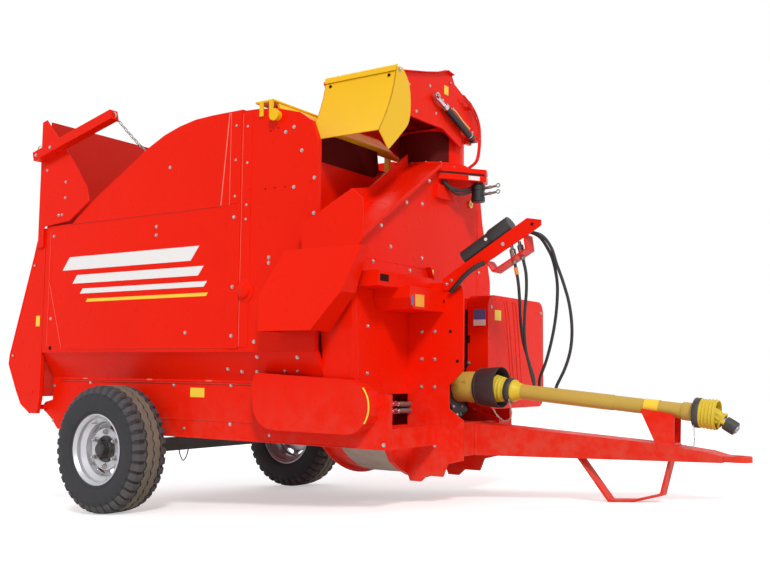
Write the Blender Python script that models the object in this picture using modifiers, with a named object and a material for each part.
"""Trailed straw chopper: bale hopper on one axle, shredding rotor, fan casing with a swivelling chute.

Metres. Every piece is modelled in the machine's level frame: x forward from the axle, y to the machine's
left, z up from the ground. The empty "stand" then tips the whole machine nose-down about the axle, onto the
loop skid under the drawbar, which is how it parks, and brings the middle of its footprint to the origin.
"""

import math

import bmesh
import bpy
from mathutils import Matrix, Vector

# Clearances
SEAT = 0.00025
RUNNING = 0.006

# Wheels and axle
AXLE_HEIGHT = 0.38
TYRE_RADIUS = 0.38
TYRE_WIDTH = 0.26
RIM_RADIUS = 0.2
RIM_WIDTH = 0.22
AXLE_BEAM = 0.08
HUB_RADIUS = 0.055
SPINDLE = 0.03
TYRE_STEPS = 48

# Body, measured from the axle line
SHEET = 0.03
RAIL_Y = 0.7
WHEEL_GAP = 0.046
TRACK = 2 * (RAIL_Y + TYRE_WIDTH / 2 + WHEEL_GAP)
RAIL_BOTTOM = 0.46
RAIL_TOP = 0.8
RAIL_FRONT_TOP = 0.743
RAIL_LIP = 0.02
RAIL_REAR_X = -0.74
RAIL_FRONT_X = 1.895
SIDE_Y = 0.8
FLARE_TOP = 0.98
SIDE_TOP = 1.8
REAR_X = -0.8
JOINT_X = 0.94
ARCH_START_X = -0.53
ARCH_FOOT = (-0.362, 1.922)
ARCH_SHOULDER = (0.154, 2.213)
ARCH_TOP = 2.344
FLOOR_TOP = 0.79
CHAMBER_X = 1.25
COLUMN_X = 1.487
FRONT_X = 1.7

# Fan casing
FAN_Z = 0.88
FAN_RADIUS = 0.6
FAN_SHELL = 0.02
WALL_HALF_LOW = 0.726
WALL_HALF_HIGH = 0.778
CASING_TOP = 2.1
OUTLET_Y = (0.1, 0.62)

# Rotor in the hopper's front section
ROTOR_X = 0.985
ROTOR_SHAFT = 0.035
ROTOR_Z = 1.3
ROTOR_DRUM = 0.11
ROTOR_REACH = 0.255
ROTOR_DISCS = 7
RESTRICTOR = (1.2, 2.27)
RESTRICTOR_RADIUS = 0.028

# Tailgate
GATE_HINGE = (-0.86, 0.6)
GATE_PIN = 0.016
GATE_PANEL_X = -0.83
GATE_TOP = 2.52
GATE_SHEET = 0.025
ARM_TUBE = 0.06

# Chute
TURN_X = 1.498
TURN_Y = 0.36
RING_Z = 2.12
CHUTE_WIDTH = 0.464
CHUTE_SHEET = 0.01
HOOD_HINGE = (0.19, 2.63)
FLAP_HINGE = (-0.406, 2.549)
FLAP_REACH = 0.435
PIN = 0.01
FLAP_PIN = 0.007
CYLINDER_X = 1.757
BARREL_RADIUS = 0.021
TURN_MOTOR = (1.835, 0.36)
CYLINDER_BASE = (0.43, 2.325)
CYLINDER_EYE = (-0.016, 2.49)
EYE_PIN = 0.009
EYE_HALF = 0.012
EYE_PLAY = 0.0058

# Headstock, drawbar and skid
HEAD_PLATE_Y = 0.22
HEAD_FRONT_X = 2.056
SHAFT_Z = 0.779
GEARBOX_DEPTH = 0.18
GEARBOX_FACE_X = FRONT_X + GEARBOX_DEPTH
BEARING_CAP = 0.02
STUB_REACH = 0.18
JOINT_CROSS_X = GEARBOX_FACE_X + STUB_REACH
DRAWBAR_HALF = 0.08
BEAM_BOTTOM = ((1.996, 0.404), (3.379, 0.444))
BEAM_TOP = ((3.047, 0.521), (3.305, 0.492))
EYE_X = 3.44
SKID_X = (2.8, 2.93)
SKID_DEPTH = 0.171
SKID_BAR = 0.012
SKID_WIDTH = 0.08

# Side chute
LIP_REACH = 0.045
DEFLECTOR_Y = -0.86
DEFLECTOR_TOP = 1.5
DEFLECTOR_FOOT = 1.065
DEFLECTOR_LEAN = 0.23
DEFLECTOR_SHEET = 0.011

# Hoses, from the arm's clamp round their bight and up to the couplers in the arm's lower bar
HOSE_RADIUS = 0.0085
HOSE_PITCH = 0.034
HOSE_CLAMP = ((2.385, -0.2, 1.585), (2.4157, -0.15, 1.637))
HOSE_OUTER = [
    (2.416, -0.188, 1.607), (2.432, -0.188, 1.607), (2.499, -0.170, 1.585), (2.539, -0.140, 1.522),
    (2.556, -0.110, 1.438),
    (2.576, -0.070, 1.341), (2.590, -0.025, 1.230), (2.584, 0.025, 1.104), (2.559, 0.064, 0.990),
    (2.521, 0.078, 0.889), (2.473, 0.080, 0.797), (2.453, 0.081, 0.749), (2.405, 0.082, 0.729),
    (2.357, 0.081, 0.749), (2.337, 0.080, 0.797),
    (2.313, 0.075, 0.895), (2.301, 0.050, 0.991), (2.314, 0.005, 1.093), (2.342, -0.045, 1.200),
    (2.372, -0.090, 1.305), (2.388, -0.128, 1.390), (2.382, -0.150, 1.466),
]
HOSE_INNER = [
    (2.416, -0.162, 1.607), (2.432, -0.162, 1.607), (2.480, -0.146, 1.578), (2.520, -0.122, 1.505),
    (2.532, -0.090, 1.442),
    (2.533, -0.050, 1.345), (2.515, -0.010, 1.248), (2.481, 0.040, 1.143), (2.441, 0.080, 1.035),
    (2.396, 0.108, 0.925), (2.352, 0.126, 0.836), (2.340, 0.140, 0.791), (2.310, 0.174, 0.772),
    (2.280, 0.208, 0.791), (2.268, 0.222, 0.836),
    (2.258, 0.180, 0.926), (2.262, 0.100, 1.037), (2.290, 0.010, 1.144), (2.325, -0.075, 1.249),
    (2.345, -0.135, 1.346), (2.343, -0.170, 1.444),
]
COUPLER_LENGTH = 0.1
COUPLER_BAR = ((2.19, 1.46), (2.236, 1.398), (2.437, 1.509), (2.425, 1.59))

STAND_ANGLE = math.asin(AXLE_HEIGHT / math.hypot(SKID_X[0], SKID_DEPTH)) - math.atan2(SKID_DEPTH, SKID_X[0])
SOLE_Z = AXLE_HEIGHT - SKID_DEPTH

FINISHES = {
    # name: colour, roughness, metallic
    "red paint": ((0.78, 0.035, 0.015), 0.35, 0.0),
    "yellow paint": ((0.9, 0.58, 0.03), 0.4, 0.0),
    "yellow guard": ((0.75, 0.55, 0.12), 0.5, 0.0),
    "black paint": ((0.02, 0.02, 0.022), 0.5, 0.0),
    "black plastic": ((0.03, 0.03, 0.032), 0.6, 0.0),
    "tyre": ((0.045, 0.042, 0.04), 0.85, 0.0),
    "silver rim": ((0.62, 0.63, 0.65), 0.35, 0.7),
    "steel": ((0.5, 0.48, 0.45), 0.4, 0.9),
    "rubber hose": ((0.02, 0.02, 0.02), 0.6, 0.0),
    "chrome": ((0.75, 0.75, 0.76), 0.15, 1.0),
}


def start_scene():
    for obj in list(bpy.data.objects):
        bpy.data.objects.remove(obj)
    parts = bpy.data.collections.new("straw_chopper")
    bpy.context.scene.collection.children.link(parts)
    return parts


PARTS = start_scene()
PLACES = {}


def material(name, finish):
    colour, roughness, metallic = FINISHES[finish]
    made = bpy.data.materials.new(name)
    made.use_nodes = True
    shader = made.node_tree.nodes["Principled BSDF"]
    shader.inputs["Base Color"].default_value = (*colour, 1.0)
    shader.inputs["Roughness"].default_value = roughness
    shader.inputs["Metallic"].default_value = metallic
    made.diffuse_color = (*colour, 1.0)
    return made


def mesh_object(mesh, name="piece"):
    obj = bpy.data.objects.new(name, mesh)
    PARTS.objects.link(obj)
    return obj


def evaluated_mesh(obj):
    depsgraph = bpy.context.evaluated_depsgraph_get()
    return bpy.data.meshes.new_from_object(obj.evaluated_get(depsgraph))


def solidified(obj):
    """Turns a curve or a modified object into a welded mesh object in the level frame."""
    bpy.context.view_layer.update()
    mesh = evaluated_mesh(obj)
    mesh.transform(obj.matrix_world)
    work = bmesh.new()
    work.from_mesh(mesh)
    bmesh.ops.remove_doubles(work, verts=work.verts, dist=0.00005)
    bmesh.ops.recalc_face_normals(work, faces=work.faces)
    work.to_mesh(mesh)
    work.free()
    bpy.data.objects.remove(obj)
    return mesh_object(mesh)


AXIS_FRAMES = {
    # outline (u, v) and depth w: x takes (y, z), y takes (x, z), z takes (x, y)
    "x": Matrix(((0, 0, 1, 0), (1, 0, 0, 0), (0, 1, 0, 0), (0, 0, 0, 1))),
    "y": Matrix(((1, 0, 0, 0), (0, 0, -1, 0), (0, 1, 0, 0), (0, 0, 0, 1))),
    "z": Matrix.Identity(4),
}
AXIS_UNITS = {"x": Vector((1, 0, 0)), "y": Vector((0, 1, 0)), "z": Vector((0, 0, 1))}


def prism(outline, axis, low, high, holes=()):
    """A flat outline, with its windows, extruded along an axis from low to high."""
    curve = bpy.data.curves.new("outline", "CURVE")
    curve.dimensions = "2D"
    curve.fill_mode = "BOTH"
    curve.extrude = (high - low) / 2
    for loop in (outline, *holes):
        spline = curve.splines.new("POLY")
        spline.points.add(len(loop) - 1)
        for point, (u, v) in zip(spline.points, loop):
            point.co = (u, v, 0.0, 1.0)
        spline.use_cyclic_u = True
    obj = mesh_object(curve)
    obj.matrix_world = Matrix.Translation(AXIS_UNITS[axis] * (low + high) / 2) @ AXIS_FRAMES[axis]
    return solidified(obj)


def box(low, high):
    """A block between two opposite corners."""
    low, high = Vector(low), Vector(high)
    mesh = bpy.data.meshes.new("box")
    work = bmesh.new()
    bmesh.ops.create_cube(work, size=1.0)
    size = high - low
    bmesh.ops.scale(work, vec=size, verts=work.verts)
    bmesh.ops.translate(work, vec=(low + high) / 2, verts=work.verts)
    work.to_mesh(mesh)
    work.free()
    return mesh_object(mesh)


def axis_turn(direction):
    return Vector((0, 0, 1)).rotation_difference(Vector(direction)).to_matrix().to_4x4()


def rod(start, end, radius, steps=16, end_radius=None):
    """A round bar, or a cone, between two points."""
    start, end = Vector(start), Vector(end)
    mesh = bpy.data.meshes.new("rod")
    work = bmesh.new()
    bmesh.ops.create_cone(
        work, cap_ends=True, segments=steps, radius1=radius,
        radius2=radius if end_radius is None else end_radius, depth=(end - start).length,
    )
    work.transform(Matrix.Translation((start + end) / 2) @ axis_turn(end - start))
    work.to_mesh(mesh)
    work.free()
    return mesh_object(mesh)


def turned(profile, centre, direction, steps, closed=False):
    """A profile of (radius, height) pairs, outer side first from the top down, turned about a line."""
    mesh = bpy.data.meshes.new("profile")
    points = [(radius, 0.0, height) for radius, height in profile]
    edges = [(i, i + 1) for i in range(len(points) - 1)]
    if closed:
        edges.append((len(points) - 1, 0))
    mesh.from_pydata(points, edges, [])
    obj = mesh_object(mesh)
    screw = obj.modifiers.new("Turn", "SCREW")
    screw.angle = math.tau
    screw.steps = steps
    screw.render_steps = steps
    screw.use_merge_vertices = True
    screw.merge_threshold = 0.0001
    obj.matrix_world = Matrix.Translation(centre) @ axis_turn(direction)
    return solidified(obj)


def tube(points, radius, sides=2):
    """A round tube along a route."""
    curve = bpy.data.curves.new("tube", "CURVE")
    curve.dimensions = "3D"
    curve.bevel_depth = radius
    curve.bevel_resolution = sides
    curve.use_fill_caps = True
    spline = curve.splines.new("POLY")
    spline.points.add(len(points) - 1)
    for target, point in zip(spline.points, points):
        target.co = (*point, 1.0)
    return solidified(mesh_object(curve))


def triangulated(obj):
    work = bmesh.new()
    work.from_mesh(obj.data)
    bmesh.ops.triangulate(work, faces=work.faces)
    work.to_mesh(obj.data)
    work.free()


def combine(base, other, operation):
    triangulated(base)
    triangulated(other)
    modifier = base.modifiers.new("Combine", "BOOLEAN")
    modifier.operation = operation
    modifier.solver = "EXACT"
    modifier.object = other
    bpy.context.view_layer.update()
    mesh = evaluated_mesh(base)
    base.modifiers.clear()
    base.data = mesh
    bpy.data.objects.remove(other)
    return base


def fuse(base, *others):
    for other in others:
        combine(base, other, "UNION")
    return base


def cut(base, *others):
    for other in others:
        combine(base, other, "DIFFERENCE")
    return base


def arc(centre, radius, start, end, steps):
    """Points of an arc, angles in degrees."""
    angles = [math.radians(start + (end - start) * i / steps) for i in range(steps + 1)]
    return [(centre[0] + radius * math.cos(a), centre[1] + radius * math.sin(a)) for a in angles]


def rounded(low, high, radius, steps=4):
    """The outline of a rectangle with round corners."""
    (x0, y0), (x1, y1) = low, high
    return (
        arc((x1 - radius, y1 - radius), radius, 0, 90, steps)
        + arc((x0 + radius, y1 - radius), radius, 90, 180, steps)
        + arc((x0 + radius, y0 + radius), radius, 180, 270, steps)
        + arc((x1 - radius, y0 + radius), radius, 270, 360, steps)
    )


def strip(path, thickness):
    """The outline of a bent flat bar whose outer side follows a path; the bar lies to the path's left."""
    inner = []
    for i, point in enumerate(path):
        before = Vector(path[max(i - 1, 0)])
        after = Vector(path[min(i + 1, len(path) - 1)])
        here = Vector(point)
        normals = []
        for a, b in ((before, here), (here, after)):
            if (b - a).length > 0:
                run = (b - a).normalized()
                normals.append(Vector((-run.y, run.x)))
        mitre = sum(normals, Vector((0, 0))).normalized()
        inner.append(tuple(here + mitre * thickness / mitre.dot(normals[0])))
    return list(path) + inner[::-1]


def pivot(name, location, parent=None):
    """An empty on a joint's axis."""
    empty = bpy.data.objects.new(name, None)
    empty.empty_display_size = 0.2
    PARTS.objects.link(empty)
    PLACES[empty.name] = Vector(location)
    empty.location = Vector(location) - (PLACES[parent.name] if parent else Vector())
    empty.parent = parent
    return empty


def install(obj, name, finish, carrier, smooth=False):
    """Names a finished piece, gives it its own material and hangs it on the empty that carries it."""
    obj.name = name
    obj.data.name = name
    obj.data.materials.clear()
    obj.data.materials.append(material(name, finish))
    if smooth:
        obj.data.shade_smooth()
        obj.data.set_sharp_from_angle(angle=math.radians(30))
    obj.parent = carrier
    obj.location = -PLACES[carrier.name]
    return obj


SIDES = (("right", -1), ("left", 1))


def span(side, inner, outer):
    """The low and high y of a wall between two distances from the centre line, on one side."""
    return tuple(sorted((side * inner, side * outer)))


# Wheels


def tyre_profile():
    """Half-width and radius of the tyre's outline, from the outer bead over the tread to the inner bead."""
    half = TYRE_WIDTH / 2
    outside = [
        (RIM_RADIUS, RIM_WIDTH / 2 - 0.012),
        (RIM_RADIUS + 0.03, half - 0.012),
        (RIM_RADIUS + 0.09, half),
        (TYRE_RADIUS - 0.05, half - 0.008),
        (TYRE_RADIUS - 0.018, half - 0.03),
        (TYRE_RADIUS, half - 0.045),
    ]
    groove_tops = []
    for centre in (0.052, 0.0, -0.052):
        groove_tops += [
            (TYRE_RADIUS, centre + 0.009), (TYRE_RADIUS - 0.01, centre + 0.005),
            (TYRE_RADIUS - 0.01, centre - 0.005), (TYRE_RADIUS, centre - 0.009),
        ]
    inside = [(radius, -height) for radius, height in reversed(outside)]
    return outside + groove_tops + inside


def rim_profile():
    """The outline of the rim with its dished disc, outer side up."""
    half = RIM_WIDTH / 2
    well = RIM_RADIUS - 0.03
    return [
        (RIM_RADIUS + 0.012, half), (RIM_RADIUS - 0.0005, half - 0.012), (RIM_RADIUS - 0.0005, half - 0.04),
        (well, half - 0.06), (well, -half + 0.06), (RIM_RADIUS - 0.0005, -half + 0.04),
        (RIM_RADIUS - 0.0005, -half + 0.012), (RIM_RADIUS + 0.012, -half),
        (RIM_RADIUS + 0.004, -half - 0.004),
        (RIM_RADIUS - 0.012, -half + 0.015), (well - 0.01, -half + 0.06), (well - 0.01, 0.0),
        (0.12, 0.035), (HUB_RADIUS + SEAT, 0.02), (HUB_RADIUS + SEAT, 0.032), (0.115, 0.047),
        (well - 0.01, 0.012),
        (well - 0.01, half - 0.06), (RIM_RADIUS - 0.012, half - 0.015), (RIM_RADIUS + 0.004, half + 0.004),
    ]


def build_wheel(side_name, side, stand):
    centre = Vector((0, side * TRACK / 2, AXLE_HEIGHT))
    carrier = pivot(f"wheel_{side_name}_axis", centre, stand)
    outward = (0, side, 0)
    tyre = turned(tyre_profile(), centre, outward, TYRE_STEPS, closed=True)
    install(tyre, f"tyre_{side_name}", "tyre", carrier, smooth=True)
    rim = turned(rim_profile(), centre, outward, 32, closed=True)
    install(rim, f"rim_{side_name}", "silver rim", carrier, smooth=True)
    hub_profile = [
        (0.0, 0.085), (0.036, 0.085), (0.04, 0.075), (0.044, 0.045), (HUB_RADIUS, 0.036), (HUB_RADIUS, -0.06),
        (SPINDLE + SEAT, -0.06), (SPINDLE + SEAT, 0.02), (0.0, 0.02),
    ]
    hub = turned(hub_profile, centre, outward, 24)
    install(hub, f"hub_{side_name}", "black paint", carrier, smooth=True)
    carrier.rotation_euler = (0, -STAND_ANGLE, 0)


def build_axle(stand):
    half = AXLE_BEAM / 2
    end = TRACK / 2 + 0.019
    beam = box((-half, -RAIL_Y, AXLE_HEIGHT - half), (half, RAIL_Y, AXLE_HEIGHT + half))
    for side in (-1, 1):
        stub = rod((0, side * (RAIL_Y - 0.05), AXLE_HEIGHT), (0, side * end, AXLE_HEIGHT), SPINDLE, 24)
        seat_low, seat_high = span(side, RAIL_Y - 0.12, RAIL_Y - 0.02)
        pad = box((-0.09, seat_low, AXLE_HEIGHT + half - 0.01), (0.09, seat_high, RAIL_BOTTOM - SEAT))
        fuse(beam, stub, pad)
    install(beam, "axle_beam", "black paint", stand)


# Chassis and hopper


def build_rails(stand):
    lip = 0.07
    for name, side in SIDES:
        low, high = span(side, RAIL_Y - SHEET, RAIL_Y)
        outline = [
            (RAIL_REAR_X, RAIL_BOTTOM), (RAIL_FRONT_X, RAIL_BOTTOM), (RAIL_FRONT_X, RAIL_FRONT_TOP),
            (FRONT_X, RAIL_FRONT_TOP), (FRONT_X, RAIL_TOP), (REAR_X, RAIL_TOP),
            (REAR_X, GATE_HINGE[1] + 0.05),
        ]
        lug = arc(GATE_HINGE, 0.035, 100, 260, 8)
        bore = arc(GATE_HINGE, GATE_PIN + SEAT, 0, 345, 23)
        web = prism(outline + lug + [(REAR_X, RAIL_BOTTOM + 0.06)], "y", low, high, holes=[bore])
        lip_low, lip_high = span(side, RAIL_Y - lip, RAIL_Y - 0.002)
        flange = box((RAIL_REAR_X, lip_low, RAIL_BOTTOM), (RAIL_FRONT_X, lip_high, RAIL_BOTTOM + RAIL_LIP))
        member_low, member_high = span(side, HEAD_PLATE_Y + SEAT, RAIL_Y - 0.01)
        member = box((RAIL_FRONT_X - 0.05, member_low, RAIL_BOTTOM + 0.001),
                     (RAIL_FRONT_X - 0.001, member_high, 0.565))
        install(fuse(web, flange, member), f"rail_{name}", "red paint", stand)


def build_floor(stand):
    half = RAIL_Y - SHEET - SEAT
    floor = box((REAR_X, -half, FLOOR_TOP - 0.02), (CHAMBER_X - SEAT, half, FLOOR_TOP))
    for x in (-0.7, -0.2, 0.35, 0.95):
        member = box((x - 0.03, -half, FLOOR_TOP - 0.1), (x + 0.03, half, FLOOR_TOP - 0.01))
        fuse(floor, member)
    install(floor, "hopper_floor", "red paint", stand)


def build_bed_chain(stand):
    """The bed conveyor: two chains with slats across them, lying on the floor."""
    low = FLOOR_TOP + SEAT
    first_slat, last_slat, slats = -0.7, 0.62, 9
    chain_y = 0.4
    bed = None
    for y in (-chain_y, chain_y):
        chain = box((first_slat - 0.06, y - 0.02, low), (last_slat + 0.06, y + 0.02, low + 0.022))
        bed = chain if bed is None else (bed, chain)
    base, other = bed
    pitch = (last_slat - first_slat) / (slats - 1)
    for i in range(slats):
        x = first_slat + i * pitch
        foot = low + 0.016
        angle_bar = prism([(x - 0.02, foot), (x + 0.02, foot), (x + 0.02, foot + 0.01),
                           (x - 0.012, foot + 0.01),
                           (x - 0.012, foot + 0.03), (x - 0.02, foot + 0.03)], "y", -0.62, 0.62)
        fuse(base, angle_bar)
    fuse(base, other)
    install(base, "bed_conveyor", "steel", stand)


def build_hopper_sides(stand):
    for name, side in SIDES:
        low, high = span(side, SIDE_Y - SHEET, SIDE_Y)
        panel = prism([(REAR_X, FLARE_TOP - 0.02), (JOINT_X - SEAT, FLARE_TOP - 0.02),
                       (JOINT_X - SEAT, SIDE_TOP),
                       (REAR_X, SIDE_TOP)], "y", low, high)
        flare = [(side * (RAIL_Y - SHEET), RAIL_TOP + SEAT), (side * RAIL_Y, RAIL_TOP + SEAT),
                 (side * SIDE_Y, FLARE_TOP), (side * (SIDE_Y - SHEET), FLARE_TOP)]
        skirt = prism(flare, "x", REAR_X, JOINT_X - SEAT)
        post = box((JOINT_X - 0.085, *span(side, SIDE_Y - 0.01, SIDE_Y + 0.008)[:1], FLARE_TOP),
                   (JOINT_X - SEAT, span(side, SIDE_Y - 0.01, SIDE_Y + 0.008)[1], SIDE_TOP))
        install(fuse(panel, skirt, post), f"hopper_side_{name}", "red paint", stand)


def build_hoods(stand):
    """The arched sheets that stand on the hopper's sides."""
    foot, shoulder = ARCH_FOOT, ARCH_SHOULDER
    outline = [(ARCH_START_X, SIDE_TOP + SEAT), (JOINT_X - SEAT, SIDE_TOP + SEAT), (JOINT_X - SEAT, ARCH_TOP),
               (0.7, ARCH_TOP)]
    crown = [(0.56, 2.338), (0.43, 2.315), (0.3, 2.278), shoulder, foot, (ARCH_START_X, SIDE_TOP + 0.007)]
    for name, side in SIDES:
        low, high = span(side, SIDE_Y - SHEET, SIDE_Y)
        hood = prism(outline + crown, "y", low, high)
        install(hood, f"arch_sheet_{name}", "red paint", stand)


def build_front_sides(stand):
    """The rotor chamber's sides."""
    top = [(JOINT_X, 2.335), (1.06, 2.33), (1.2, 2.312), (1.357, 2.268), (1.441, 2.211), (COLUMN_X, 2.096)]
    outline = [(JOINT_X, FLARE_TOP - 0.02)] + top + [(COLUMN_X, FLARE_TOP - 0.02)]
    for name, side in SIDES:
        low, high = span(side, SIDE_Y - SHEET, SIDE_Y)
        panel = prism(outline, "y", low, high)
        flare = [(side * (RAIL_Y - SHEET), RAIL_TOP + SEAT), (side * RAIL_Y, RAIL_TOP + SEAT),
                 (side * SIDE_Y, FLARE_TOP), (side * (SIDE_Y - SHEET), FLARE_TOP)]
        skirt = prism(flare, "x", JOINT_X, COLUMN_X)
        x, z = RESTRICTOR
        bore = rod((x, -1, z), (x, 1, z), RESTRICTOR_RADIUS + 0.0005)
        bearing = rod((ROTOR_X, -1, ROTOR_Z), (ROTOR_X, 1, ROTOR_Z), ROTOR_SHAFT + SEAT, 24)
        install(cut(fuse(panel, skirt), bore, bearing), f"chamber_side_{name}", "red paint", stand)


def build_bulkhead(stand):
    """The wall between the rotor chamber and the fan, with the fan's round inlet."""
    half_low, half_high = RAIL_Y - SHEET - SEAT, SIDE_Y - SHEET - SEAT
    outline = [(-half_low, 0.5), (half_low, 0.5), (half_low, RAIL_TOP), (half_high, FLARE_TOP + 0.01),
               (half_high, 2.06), (-half_high, 2.06), (-half_high, FLARE_TOP + 0.01), (-half_low, RAIL_TOP)]
    inlet = arc((0, FAN_Z + 0.12), 0.26, 0, 337.5, 15)
    wall = prism(outline, "x", CHAMBER_X, CHAMBER_X + 0.02, holes=[inlet])
    install(wall, "bulkhead", "red paint", stand)


def build_rotor(stand):
    carrier = pivot("rotor_axis", (ROTOR_X, 0, ROTOR_Z), stand)
    half = SIDE_Y - SHEET - RUNNING
    drum = rod((ROTOR_X, -half, ROTOR_Z), (ROTOR_X, half, ROTOR_Z), ROTOR_DRUM)
    fuse(drum, rod((ROTOR_X, -SIDE_Y - 0.02, ROTOR_Z), (ROTOR_X, SIDE_Y + 0.02, ROTOR_Z), ROTOR_SHAFT, 24))
    for i in range(ROTOR_DISCS):
        y = -0.6 + i * 1.2 / (ROTOR_DISCS - 1)
        blade = []
        for k in range(4):
            angle = 90 * k + 18 * i
            tip = arc((ROTOR_X, ROTOR_Z), ROTOR_REACH, angle, angle + 14, 1)
            root = arc((ROTOR_X, ROTOR_Z), ROTOR_DRUM * 0.9, angle + 30, angle + 60, 1)
            blade += tip + root
        fuse(drum, prism(blade, "y", y - 0.006, y + 0.006))
    install(drum, "shredding_rotor", "black paint", carrier)


def build_restrictor(stand):
    """The yellow bale restrictor: a tube across the chamber with a comb behind it."""
    half = SIDE_Y + 0.03
    x, z = RESTRICTOR
    beam = rod((x, -half, z), (x, half, z), RESTRICTOR_RADIUS)
    for side in (-1, 1):
        low, high = span(side, half - 0.001, half + 0.008)
        fuse(beam, rod((x, low, z), (x, high, z), 0.034, 20))
    comb = box((1.04, -half + 0.02, 2.358), (1.172, half - 0.02, 2.368))
    brace = prism([(1.152, 2.363), (1.165, 2.363), (x + 0.01, z + 0.01), (x - 0.01, z)], "y", -half + 0.07,
                  half - 0.07)
    fuse(beam, comb, brace)
    for tooth_x in (1.085, 1.156):
        for side in (-1, 1):
            low, high = span(side, SIDE_Y + 0.003, SIDE_Y + 0.01)
            fuse(beam, box((tooth_x - 0.014, low, 2.28), (tooth_x + 0.014, high, 2.366)))
    for i in range(9):
        y = -0.64 + i * 0.16
        fuse(beam, box((1.06, y - 0.01, 2.2), (1.1, y + 0.01, 2.366)))
    install(beam, "bale_restrictor", "yellow paint", stand)


# Fan casing and front


def build_fan_casing(stand):
    """The volute: a half-round belly, upright sides and a shoulder that slopes up to the outlet's collar."""
    def outline(inset):
        radius = FAN_RADIUS - inset
        top = RING_Z - 0.019 - SEAT - inset
        return arc((0, FAN_Z), radius, 180, 360, 16) + [(radius, top), (OUTLET_Y[0] + inset * 0.3, top),
                                                        (-radius, 1.62 - inset * 0.3)]

    shell = prism(outline(0.0), "x", CHAMBER_X + 0.02 + SEAT, FRONT_X - SHEET - SEAT)
    hollow = prism(outline(FAN_SHELL), "x", CHAMBER_X, FRONT_X)
    mouth = box((CHAMBER_X + 0.04, OUTLET_Y[0] + 0.06, CASING_TOP - 0.1),
                (FRONT_X - SHEET - 0.02, OUTLET_Y[1] - 0.06, CASING_TOP + 0.1))
    install(cut(shell, hollow, mouth), "fan_casing", "steel", stand)


def build_front_wall(stand):
    outer = WALL_HALF_HIGH
    inner = RAIL_Y - SHEET - SEAT
    lip_top = RAIL_BOTTOM + RAIL_LIP + SEAT
    outline = (
        arc((0, FAN_Z), FAN_RADIUS + 0.026, 235, 305, 8)
        + [(0.44, lip_top + 0.005), (inner, lip_top), (inner, RAIL_TOP), (WALL_HALF_LOW, RAIL_TOP + 0.002),
           (outer, 1.3), (outer, 1.45), (0.67, 1.83), (OUTLET_Y[1], CASING_TOP), (OUTLET_Y[0], CASING_TOP),
           (-outer, 1.53), (-outer, 1.3), (-WALL_HALF_LOW, RAIL_TOP + 0.002), (-inner, RAIL_TOP),
           (-inner, lip_top), (-0.44, lip_top + 0.005)]
    )
    pocket = [(-0.42, 0.565), (-0.16, 0.565), (-0.16, 0.737), (-0.42, 0.737)]
    wall = prism(outline, "x", FRONT_X - SHEET, FRONT_X, holes=[pocket])
    for name, side in SIDES:
        top = 1.5 if side < 0 else 1.45
        high, low, foot = WALL_HALF_HIGH - 0.003, WALL_HALF_LOW - 0.003, RAIL_TOP + 0.005
        outline = [(side * low, foot), (side * high, 1.3), (side * high, top - 0.005),
                   (side * (high - SHEET), top - 0.005),
                   (side * (high - SHEET), 1.3), (side * (low - SHEET), foot)]
        fuse(wall, prism(outline, "x", COLUMN_X + SEAT, FRONT_X - 0.01))
    install(wall, "front_wall", "red paint", stand)


def build_box_beam(stand):
    """The box across the front at chest height, wrapped round the right corner."""
    beam = box((FRONT_X + SEAT, -0.76, 1.3), (1.86, -HEAD_PLATE_Y - SEAT, 1.38))
    guard = prism([(-0.57, 1.31), (-0.57, 1.25), (-0.53, 1.19), (-HEAD_PLATE_Y - 0.001, 1.19),
                   (-HEAD_PLATE_Y - 0.001, 1.31)],
                  "x", FRONT_X + 0.001, 1.93)
    install(fuse(beam, guard), "front_beam", "red paint", stand)


def build_headstock(stand):
    """Two upright plates that carry the drawbar in front of the fan casing."""
    corner = 0.06
    foot = [(FRONT_X + SEAT, 0.3), (1.72, 0.255), (1.79, 0.255), (1.83, 0.29), (1.93, 0.29), (1.96, 0.36),
            (HEAD_FRONT_X, 0.384), (HEAD_FRONT_X, 0.6)]
    notch = [(1.967, 0.659), (1.967, 0.787), (HEAD_FRONT_X, 0.87)]
    crown = arc((HEAD_FRONT_X - corner, 1.355 - corner), corner, 0, 90, 4)
    behind_cover = [(1.89, 0.64), (1.89, 1.3)]
    for name, side, edge in (("right", -1, notch + crown), ("left", 1, behind_cover)):
        low, high = span(side, HEAD_PLATE_Y - 0.012, HEAD_PLATE_Y)
        plate = prism(foot + edge + [(FRONT_X + SEAT, edge[-1][1])], "y", low, high)
        install(plate, f"headstock_plate_{name}", "red paint", stand)
    inner = HEAD_PLATE_Y - 0.012 - SEAT
    gearbox = box((FRONT_X + SEAT, -0.15, SHAFT_Z - 0.15), (GEARBOX_FACE_X, 0.15, SHAFT_Z + 0.15))
    bearing = prism([(a, b) for a, b in arc((0, SHAFT_Z), 0.14, 22.5, 337.5, 7)], "x", GEARBOX_FACE_X - 0.001,
                    GEARBOX_FACE_X + BEARING_CAP)
    stub = rod((GEARBOX_FACE_X + BEARING_CAP / 2, 0, SHAFT_Z), (JOINT_CROSS_X - 0.036, 0, SHAFT_Z), 0.047, 20)
    fuse(gearbox, bearing, stub)
    for side in (-1, 1):
        low, high = span(side, 0.0365, 0.0455)
        fuse(gearbox, box((JOINT_CROSS_X - 0.06, low, SHAFT_Z - 0.021),
                          (JOINT_CROSS_X + 0.02, high, SHAFT_Z + 0.021)))
    bore = rod((JOINT_CROSS_X, -0.1, SHAFT_Z), (JOINT_CROSS_X, 0.1, SHAFT_Z), PIN + SEAT, 24)
    install(cut(gearbox, bore), "input_gearbox", "black paint", stand)
    tie = box((FRONT_X + SEAT, -inner, 0.404), (HEAD_FRONT_X - 0.02, inner, 0.584))
    return tie


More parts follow.
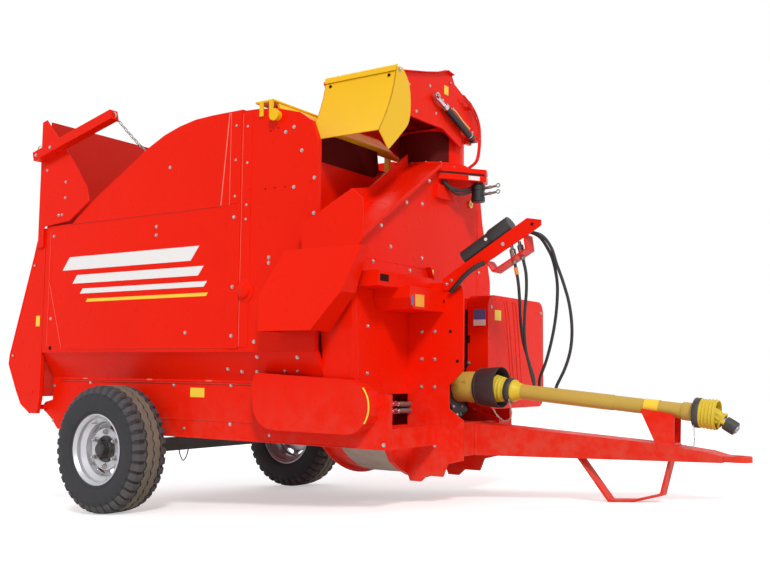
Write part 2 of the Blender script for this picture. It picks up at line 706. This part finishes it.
def build_drawbar(stand, tie):
    """A tapered box from the headstock to the towing eye."""
    (root_x, root_z), nose = BEAM_BOTTOM
    outline = [(root_x, root_z), nose, (nose[0], 0.474), BEAM_TOP[1], BEAM_TOP[0], (root_x, 0.584)]
    beam = prism(outline, "y", -DRAWBAR_HALF, DRAWBAR_HALF)
    fuse(beam, tie)
    install(beam, "drawbar", "red paint", stand)
    eye_outline = arc((EYE_X, 0), 0.06, 90, -90, 8) + [(3.3795, -0.06), (3.3795, 0.06)]
    eye_hole = arc((EYE_X, 0), 0.027, 0, 330, 11)
    eye = prism(eye_outline, "z", 0.447, 0.475, holes=[eye_hole])
    install(eye, "towing_eye", "red paint", stand)


def build_skid(stand):
    tilt = math.tan(STAND_ANGLE)
    (root_x, root_z), (nose_x, nose_z) = BEAM_BOTTOM
    slope = (nose_z - root_z) / (nose_x - root_x)
    toe = SOLE_Z + (SKID_X[1] - SKID_X[0]) * tilt
    path = [(2.61, 0.454), (SKID_X[0], SOLE_Z), (SKID_X[1], toe), (3.075, 0.261), (3.127, 0.455)]
    skid = prism(strip(path, SKID_BAR), "y", -SKID_WIDTH / 2, SKID_WIDTH / 2)
    seat = [(x, BEAM_BOTTOM[0][1] + (x - BEAM_BOTTOM[0][0]) * slope - SEAT) for x in (2.4, 3.3)]
    install(cut(skid, prism(seat + [(3.3, 0.7), (2.4, 0.7)], "y", -0.2, 0.2)), "loop_skid", "red paint",
            stand)


def build_cradle(stand):
    """The fork on the drawbar that the power shaft rests in."""
    (high_x, high_z), (low_x, low_z) = BEAM_TOP
    slope = (low_z - high_z) / (low_x - high_x)
    heel, toe = [(x, high_z + (x - high_x) * slope + SEAT) for x in (3.052, 3.145)]
    cheek = [heel, toe, (3.15, 0.66), (3.13, 0.668), (2.985, 0.69), (2.981, 0.675)]
    cheeks = [prism(cheek, "y", *span(side, 0.052, 0.058)) for side in (-1, 1)]
    foot = [heel, toe, (toe[0], toe[1] + 0.012), (heel[0], heel[1] + 0.012)]
    cradle = fuse(prism(foot, "y", -0.055, 0.055), *cheeks)
    install(cradle, "shaft_cradle", "red paint", stand)


def build_covers(stand):
    cover = prism(rounded((0.1, 0.65), (0.86, 1.31), 0.07), "x", 1.9, 2.04)
    back = box((FRONT_X + SEAT, HEAD_PLATE_Y + SEAT, 0.75), (1.901, 0.75, 1.25))
    install(fuse(cover, back), "drive_cover", "red paint", stand)
    guard_outline = (
        [(1.07, 0.845), (1.047, 0.78), (1.06, 0.66)] + arc((1.2, 0.68), 0.142, 200, 270, 4)
        + arc((1.69, 0.68), 0.145, 270, 360, 5) + [(1.825, 0.76)] + [(1.72, 0.815)]
    )
    guard = prism(guard_outline, "y", -SIDE_Y, -RAIL_Y - SEAT)
    cutter = box((0.9, -RAIL_Y - 0.04, RAIL_TOP - 0.003), (1.95, -RAIL_Y + 0.1, RAIL_TOP + 0.2))
    install(cut(guard, cutter), "rotor_drive_guard", "red paint", stand)


def leaned(obj):
    """Leans a piece outward below the deflector's top, as its outer sheet does."""
    for vertex in obj.data.vertices:
        vertex.co.y -= DEFLECTOR_LEAN * (DEFLECTOR_TOP - vertex.co.z)
    return obj


def build_side_chute(stand):
    """The fixed low-level chute: a trough down the casing's right shoulder, and a deflector."""
    high_y, low_y, low_z = OUTLET_Y[0] - 0.02, -SIDE_Y, 1.53
    slope = (CASING_TOP + 0.003 - low_z) / (high_y - low_y)

    def shoulder(y, lift=0.0):
        return (y, low_z + (y - low_y) * slope + lift)

    floor = prism([shoulder(high_y), shoulder(low_y), shoulder(low_y, 0.014), shoulder(high_y, 0.014)],
                  "x", COLUMN_X + SEAT, FRONT_X + 0.02)
    lip_top, lip_end = high_y - 0.005, DEFLECTOR_Y + SEAT
    lip = prism([shoulder(lip_top, -0.012), shoulder(lip_end, -0.012), shoulder(lip_end, 0.013),
                 shoulder(lip_top, 0.013)],
                "x", FRONT_X + SEAT, FRONT_X + LIP_REACH)
    back = prism([shoulder(lip_top, 0.004), shoulder(low_y + 0.003, 0.004), (low_y + 0.003, 1.7),
                  (-0.477, 1.887),
                  (-0.33, 1.915), shoulder(lip_top, 0.09)], "x", COLUMN_X + 0.003, COLUMN_X + 0.013)
    install(fuse(floor, lip, back), "side_chute_trough", "red paint", stand)

    inner_y = -SIDE_Y - SEAT
    outline = [(1.33, DEFLECTOR_TOP), (1.2, 1.27), (1.235, DEFLECTOR_FOOT), (1.585, DEFLECTOR_FOOT),
               (1.745, 1.26),
               (1.83, DEFLECTOR_TOP)]
    passage_outline = [(1.362, 1.54), (1.2115, 1.272), (1.252, DEFLECTOR_FOOT - 0.03),
                       (1.546, DEFLECTOR_FOOT - 0.03),
                       (1.7365, 1.2657), (1.833, 1.54)]
    shell = prism(outline, "y", DEFLECTOR_Y - 0.15, inner_y)
    cut(shell, leaned(box((1.0, -1.3, 1.0), (1.9, DEFLECTOR_Y - DEFLECTOR_SHEET, 1.6))))
    passage = prism(passage_outline, "y", DEFLECTOR_Y - 0.16, inner_y + 0.03)
    cut(passage, leaned(box((1.0, -1.3, 1.0), (1.9, DEFLECTOR_Y, 1.6))))
    cut(shell, passage)
    end_plate = prism([(1.447, 1.47), (1.432, 1.629), (1.766, 1.795), (1.832, 1.739), (1.841, 1.536),
                       (1.79, 1.47)],
                      "y", DEFLECTOR_Y - 0.0105, DEFLECTOR_Y - 0.0005)
    cheek = box((1.434, DEFLECTOR_Y - 0.004, 1.44), (1.444, inner_y, 1.6))
    install(fuse(shell, end_plate, cheek), "side_chute_hood", "red paint", stand)


# Tailgate


def build_tailgate(stand):
    carrier = pivot("tailgate_hinge", (GATE_HINGE[0], 0, GATE_HINGE[1]), stand)
    outer = SIDE_Y
    side_outline = [
        (REAR_X - RUNNING, 0.66), (REAR_X - RUNNING, 1.79), (-0.835, 1.79), (-0.891, 1.702), (-0.917, 1.61),
        (-1.14, 0.946),
        (-1.148, 0.884), (-1.059, 0.715), (-1.0, 0.62), (-0.9, 0.56), (-0.83, 0.56),
    ]
    for name, side in SIDES:
        low, high = span(side, outer - GATE_SHEET, outer)
        cheek_low, cheek_high = span(side, outer + 0.0055, outer + 0.0155)
        arm_low, arm_high = span(side, outer + 0.013, outer + 0.0155 + ARM_TUBE)
        plate = prism(side_outline, "y", low, high)
        cheek = prism([(-0.868, 1.66), (-0.868, 2.517), (-0.83, 2.526), (-0.714, 2.399), (-0.62, 2.3),
                       (-0.538, 2.21),
                       (-0.4, 2.034), (-0.365, 1.93), (-0.55, 1.82), (-0.815, 1.8), (-0.815, 1.66)], "y",
                       cheek_low, cheek_high)
        link_low, link_high = span(side, outer - 0.02, outer + 0.01)
        tie = box((-0.866, link_low, 1.665), (-0.82, link_high, 1.74))
        arm = prism([(-0.885, 2.3), (-0.87, 2.242), (-0.105, 2.425), (-0.12, 2.484)], "y", arm_low, arm_high)
        pin_low, pin_high = span(side, RAIL_Y - 0.06, outer - 0.01)
        pin = rod((GATE_HINGE[0], pin_low, GATE_HINGE[1]), (GATE_HINGE[0], pin_high, GATE_HINGE[1]),
                  GATE_PIN, 24)
        install(fuse(plate, cheek, tie, arm, pin), f"tailgate_side_{name}", "red paint", carrier)
    half = outer - GATE_SHEET - SEAT
    inner_panel = box((GATE_PANEL_X - 0.002, -half, 0.68), (GATE_PANEL_X + 0.012, half, GATE_TOP))
    back = prism(strip([(-0.85, 1.74), (-0.917, 1.61), (-1.14, 0.946), (-1.148, 0.884),
                        (-1.03, 0.67)][::-1], 0.012), "y", -half, half)
    install(inner_panel, "tailgate_panel", "red paint", carrier)
    install(back, "tailgate_back", "red paint", carrier)
    end = outer + 0.013 - SEAT
    points = [(-0.13, -end, 2.43)]
    for i in range(25):
        t = -1 + 2 * i / 24
        points.append((-0.13, t * (end - 0.02), 2.43 - 0.3 * (1 - t * t)))
    points.append((-0.13, end, 2.43))
    chain = tube(points, 0.009, 1)
    install(chain, "retaining_chain", "steel", carrier)


# Chute


def flap_edge(angle):
    """A point at the flap's reach below its hinge, swung outward by an angle in degrees."""
    swing = math.radians(angle)
    return (FLAP_HINGE[0] - FLAP_REACH * math.sin(swing), FLAP_HINGE[1] - FLAP_REACH * math.cos(swing))


def build_chute(stand):
    turn = pivot("chute_turn_axis", (TURN_X, TURN_Y, RING_Z), stand)
    centre = (TURN_X, TURN_Y, RING_Z)
    x0, x1 = TURN_X - CHUTE_WIDTH / 2, TURN_X + CHUTE_WIDTH / 2
    collar_profile = [(0.25, 0.0), (0.25, -0.019), (0.19, -0.019), (0.19, 0.0)]
    collar = turned(collar_profile, centre, (0, 0, 1), 32, closed=True)
    install(collar, "turret_ring", "red paint", stand, smooth=True)

    column_profile = [(0.208, 0.228), (0.208, 0.025), (0.245, 0.025), (0.245, SEAT), (0.195, SEAT),
                      (0.195, 0.228)]
    elbow = turned(column_profile, centre, (0, 0, 1), 32, closed=True)
    inner0, inner1 = x0 + CHUTE_SHEET + RUNNING, x1 - CHUTE_SHEET - RUNNING
    deck_z = RING_Z + 0.22
    hole = arc((TURN_X, TURN_Y), 0.2015, 4, 352.75, 31)
    deck = prism([(inner0 + 0.002, 0.12), (inner1 - 0.002, 0.12), (inner1 - 0.002, 0.58),
                  (inner0 + 0.002, 0.58)],
                 "z", deck_z, deck_z + 0.012, holes=[hole])
    back_line = [(0.28, 2.645), (0.5, 2.56), (0.585, 2.46), (0.585, deck_z + 0.003)]
    side_outline = [(0.155, deck_z + 0.004), (0.582, deck_z + 0.004), (0.582, 2.46), (0.498, 2.556),
                    (0.28, 2.641),
                    (0.215, 2.65), (0.165, 2.65), (0.155, 2.6)]
    back = prism(strip(back_line, -CHUTE_SHEET), "x", inner0, inner1)
    fuse(elbow, deck, prism(side_outline, "x", inner0, inner0 + CHUTE_SHEET),
         prism(side_outline, "x", inner1 - CHUTE_SHEET, inner1), back)
    base_y, base_z = CYLINDER_BASE
    bracket = box((inner1 - 0.004, base_y - 0.03, base_z - 0.03),
                  (CYLINDER_X - BARREL_RADIUS - 0.003, base_y + 0.03, base_z + 0.03))
    base_pin = rod((inner1, base_y, base_z), (CYLINDER_X + EYE_HALF + 0.006, base_y, base_z), PIN, 24)
    fuse(elbow, bracket, base_pin)
    for low, high in ((x0 - 0.004, inner0 + 0.004), (inner1 - 0.004, x1 + 0.004)):
        fuse(elbow, rod((low, *HOOD_HINGE), (high, *HOOD_HINGE), PIN, 24))
    install(elbow, "chute_elbow", "red paint", turn)

    hood_pivot = pivot("chute_hood_axis", (TURN_X, *HOOD_HINGE), turn)
    hood_side = [(-0.39, 2.325), (-0.3, 2.32), (-0.114, 2.32), (0.1, 2.324), (0.2, 2.29), (0.33, 2.25),
                 (0.34, 2.3),
                 (0.26, 2.62), (0.2, 2.7), (0.14, 2.695), (0.05, 2.66), (-0.1, 2.62), (-0.36, 2.56)]
    hood_side += arc(FLAP_HINGE, 0.014, 90, 230, 5)
    bore = arc(HOOD_HINGE, PIN + SEAT, 0, 345, 23)
    hood = prism(hood_side, "x", x0, x0 + CHUTE_SHEET, holes=[bore])
    top_line = [(-0.36, 2.565), (-0.1, 2.625), (0.05, 2.665), (0.14, 2.7), (0.22, 2.69)]
    top = prism(strip(top_line, -CHUTE_SHEET), "x", x0 + 0.0005, x1 - 0.0005)
    eye_y, eye_z = CYLINDER_EYE
    pin = rod((x1 - 0.004, eye_y, eye_z), (CYLINDER_X + EYE_HALF + 0.006, eye_y, eye_z), EYE_PIN, 24)
    fuse(hood, prism(hood_side, "x", x1 - CHUTE_SHEET, x1, holes=[bore]), top, pin)
    wide0, wide1 = x0 - CHUTE_SHEET - RUNNING, x1 + CHUTE_SHEET + RUNNING
    for low, high in ((wide0 - 0.004, x0 + 0.004), (x1 - 0.004, wide1 + 0.004)):
        fuse(hood, rod((low, *FLAP_HINGE), (high, *FLAP_HINGE), FLAP_PIN, 24))
    install(hood, "chute_hood", "red paint", hood_pivot)

    flap_pivot = pivot("chute_flap_axis", (TURN_X, *FLAP_HINGE), hood_pivot)
    hinge_y, hinge_z = FLAP_HINGE
    low_y, low_z = flap_edge(27.1)
    brow = [(hinge_y - 0.028, hinge_z + 0.014), (hinge_y + 0.036, hinge_z + 0.019), (-0.3, 2.5),
            (-0.285, 2.4), (-0.3, 2.271)]
    knee = (-0.49, 2.36)
    long_cheek = brow + [(-0.51, 2.071), (low_y, low_z), knee]
    short_cheek = brow + [flap_edge(13.0), flap_edge(20.0), (low_y, low_z), knee]
    eye = arc(FLAP_HINGE, FLAP_PIN + SEAT, 0, 345, 23)
    flap = prism(short_cheek, "x", wide0, wide0 + CHUTE_SHEET, holes=[eye])
    face_line = [(hinge_y - 0.009, hinge_z + 0.027), (hinge_y - 0.028, hinge_z + 0.015),
                 (knee[0] - 0.0005, knee[1]),
                 (low_y - 0.0005, low_z)]
    face = prism(strip(face_line, CHUTE_SHEET), "x", wide0 + 0.0005, wide1 - 0.0005)
    fuse(flap, prism(long_cheek, "x", wide1 - CHUTE_SHEET, wide1, holes=[eye]), face)
    install(flap, "chute_flap", "yellow paint", flap_pivot)
    build_cylinder(turn)


def build_cylinder(turn):
    """The chute cylinder on the turret's front face: its barrel on the elbow, its rod's eye on the hood."""
    base, eye = Vector((CYLINDER_X, *CYLINDER_BASE)), Vector((CYLINDER_X, *CYLINDER_EYE))
    run = (eye - base).normalized()
    length = (eye - base).length
    barrel_pivot = pivot("cylinder_axis", base, turn)
    barrel = rod(base + run * 0.016, base + run * 0.36, BARREL_RADIUS, 20)
    base_eye = rod(base - Vector((EYE_HALF, 0, 0)), base + Vector((EYE_HALF, 0, 0)), 0.024, 20)
    fuse(base_eye, barrel)
    cut(base_eye, rod(base + run * 0.06, base + run * 0.4, 0.0125 + SEAT, 16))
    cut(base_eye, rod(base - Vector((0.05, 0, 0)), base + Vector((0.05, 0, 0)), PIN + SEAT, 24))
    install(base_eye, "cylinder_barrel", "black paint", barrel_pivot, smooth=True)
    rod_pivot = pivot("cylinder_slide", eye, barrel_pivot)
    plunger = rod(base + run * 0.08, base + run * (length - 0.015), 0.0125, 16)
    rod_eye = rod(eye - Vector((EYE_HALF, 0, 0)), eye + Vector((EYE_HALF, 0, 0)), 0.024, 20)
    fuse(plunger, rod_eye)
    cut(plunger, rod(eye - Vector((0.05, 0, 0)), eye + Vector((0.05, 0, 0)), EYE_PIN + EYE_PLAY, 28))
    install(plunger, "cylinder_rod", "steel", rod_pivot, smooth=True)


def build_turn_motor(stand):
    """The block on the front wall that turns the chute, with its oil motor below."""
    x, y = TURN_MOTOR
    block = prism([(FRONT_X + SEAT, 0.095), (1.73, 0.11), (1.9, 0.345), (1.87, 0.42), (1.8, 0.47),
                   (FRONT_X + SEAT, 0.5)],
                  "z", 2.035, CASING_TOP - 0.002)
    neck = rod((x, y, 2.01), (x, y, 2.05), 0.03, 16)
    body = rod((x, y, 1.905), (x, y, 2.02), 0.043, 20)
    install(fuse(block, neck, body), "turn_motor", "black paint", stand)


# Power shaft and hose bracket


def build_power_shaft(stand):
    middle_x = JOINT_CROSS_X - 0.02
    back = GEARBOX_FACE_X + BEARING_CAP + SEAT - middle_x
    guard_profile = [
        (0.105, 0.1), (0.105, 0.0), (0.085, 0.0), (0.085, back), (0.075, back), (0.075, -0.012),
        (0.062, -0.012), (0.062, 0.002), (0.095, 0.012), (0.095, 0.1),
    ]
    guard = turned(guard_profile, (middle_x, 0, SHAFT_Z), (1, 0, 0), 28, closed=True)
    install(guard, "input_guard", "yellow guard", stand, smooth=True)
    start, end = Vector((JOINT_CROSS_X, 0, SHAFT_Z)), Vector((3.22, 0, 0.677))
    carrier = pivot("shaft_hinge", start, stand)
    run = (end - start).normalized()

    def at(distance):
        return start + run * distance

    tube_body = rod(at(0.2), at(1.2), 0.036, 20)
    cone = rod(at(0.125), at(0.215), 0.062, 20, end_radius=0.045)
    yoke = rod(at(0.0), at(0.13), 0.028, 20)
    knuckle = rod(start - Vector((0, 0.03, 0)), start + Vector((0, 0.03, 0)), 0.0275, 20)
    cross = rod(start - Vector((0, 0.044, 0)), start + Vector((0, 0.044, 0)), PIN, 24)
    nose = rod(at(1.18), at(1.31), 0.05, 20, end_radius=0.062)
    tip = rod(at(1.3), at(1.4), 0.035)
    install(fuse(tube_body, cone, yoke, knuckle, cross, nose, tip), "power_shaft", "yellow guard", carrier,
            smooth=True)


def build_hose_bracket(stand):
    """The folded arm that holds the hoses up, with the document tube clamped along its top."""
    outline = [(1.93, 1.31), (2.0, 1.31), (2.01, 1.345), (2.47, 1.6), (2.52, 1.63), (2.52, 1.66),
               (2.44, 1.675), (1.93, 1.375)]
    low = -HEAD_PLATE_Y - 0.008 - SEAT
    arm = prism(outline, "y", low, low + 0.008)
    fold = prism([(1.99, 1.404), (1.995, 1.396), (2.445, 1.661), (2.44, 1.669)], "y", low, -0.13)
    lower_bar = prism(strip(COUPLER_BAR, 0.008), "y", low + 0.001, -0.125)
    clamp = box(*HOSE_CLAMP)
    fuse(arm, fold, lower_bar, clamp)
    for hose in (HOSE_OUTER, HOSE_INNER):
        top, foot = coupler_line(hose)
        cut(arm, rod(foot - (top - foot) * 0.3, top + (top - foot) * 0.06, HOSE_RADIUS + 0.004 + SEAT, 20))
    install(arm, "hose_bracket", "red paint", stand)
    fold_start, fold_end = Vector((1.99, 0, 1.404)), Vector((2.44, 0, 1.669))
    run = (fold_end - fold_start).normalized()
    lift = Vector((-run.z, 0, run.x)) * (0.046 + SEAT)
    tube_start = fold_start + run * 0.09 + Vector((lift.x, -0.178, lift.z))
    tube_end = tube_start + run * 0.325
    case = rod(tube_start, tube_end, 0.043, 20)
    cap = rod(tube_start + run * 0.19, tube_end + run * 0.004, 0.046, 20)
    install(fuse(case, cap), "document_tube", "black plastic", stand, smooth=True)


def smooth_route(points, pitch):
    """A smooth curve through the points, sampled about every pitch."""
    knots = [Vector(point) for point in points]
    knots = [knots[0] * 2 - knots[1], *knots, knots[-1] * 2 - knots[-2]]
    route = []
    for before, start, end, after in zip(knots, knots[1:], knots[2:], knots[3:]):
        steps = max(1, round((end - start).length / pitch))
        for i in range(steps):
            t = i / steps
            route.append((start * 2 + (end - before) * t + (before * 2 - start * 5 + end * 4 - after) * t * t
                          + (start * 3 - before - end * 3 + after) * t ** 3) / 2)
    return route + [knots[-2]]


def coupler_line(hose):
    """The upper and lower end of the coupler on a hose's far end."""
    before, foot = smooth_route(hose, HOSE_PITCH)[-2:]
    return foot + (foot - before).normalized() * COUPLER_LENGTH, foot


def build_hoses(stand):
    """Two hoses that hang from the arm, each with its coupler parked in the arm's lower bar."""
    for name, hose in (("outer", HOSE_OUTER), ("inner", HOSE_INNER)):
        top, foot = coupler_line(hose)
        run = (top - foot).normalized()
        route = smooth_route(hose, HOSE_PITCH)
        install(tube(route, HOSE_RADIUS), f"hose_{name}", "rubber hose", stand, smooth=True)
        crimp = HOSE_RADIUS + 0.004
        collar = HOSE_RADIUS + 0.008
        profile = [(0.0, COUPLER_LENGTH), (0.009, COUPLER_LENGTH), (0.009, 0.082), (collar, 0.078),
                   (collar, 0.036),
                   (crimp, 0.032), (crimp, SEAT), (0.0, SEAT)]
        coupler = turned(profile, foot, run, 20)
        install(coupler, f"hose_coupler_{name}", "chrome", stand, smooth=True)


def stand_on_floor(stand):
    """Tips the machine onto its skid and brings the middle of its footprint to the origin."""
    stand.rotation_euler = (0, STAND_ANGLE, 0)
    bpy.context.view_layer.update()
    corners = [obj.matrix_world @ vertex.co for obj in PARTS.objects if obj.type == "MESH"
               for vertex in obj.data.vertices]
    low = [min(corner[i] for corner in corners) for i in range(3)]
    high = [max(corner[i] for corner in corners) for i in range(3)]
    shift = Vector(((low[0] + high[0]) / 2, (low[1] + high[1]) / 2, low[2]))
    stand.location = stand.location - shift


def build():
    stand = pivot("stand", (0, 0, AXLE_HEIGHT))
    for name, side in SIDES:
        build_wheel(name, side, stand)
    build_axle(stand)
    build_rails(stand)
    build_floor(stand)
    build_bed_chain(stand)
    build_hopper_sides(stand)
    build_hoods(stand)
    build_front_sides(stand)
    build_bulkhead(stand)
    build_rotor(stand)
    build_restrictor(stand)
    build_fan_casing(stand)
    build_front_wall(stand)
    build_box_beam(stand)
    tie = build_headstock(stand)
    build_drawbar(stand, tie)
    build_skid(stand)
    build_cradle(stand)
    build_covers(stand)
    build_side_chute(stand)
    build_tailgate(stand)
    build_chute(stand)
    build_turn_motor(stand)
    build_power_shaft(stand)
    build_hose_bracket(stand)
    build_hoses(stand)
    stand_on_floor(stand)


build()
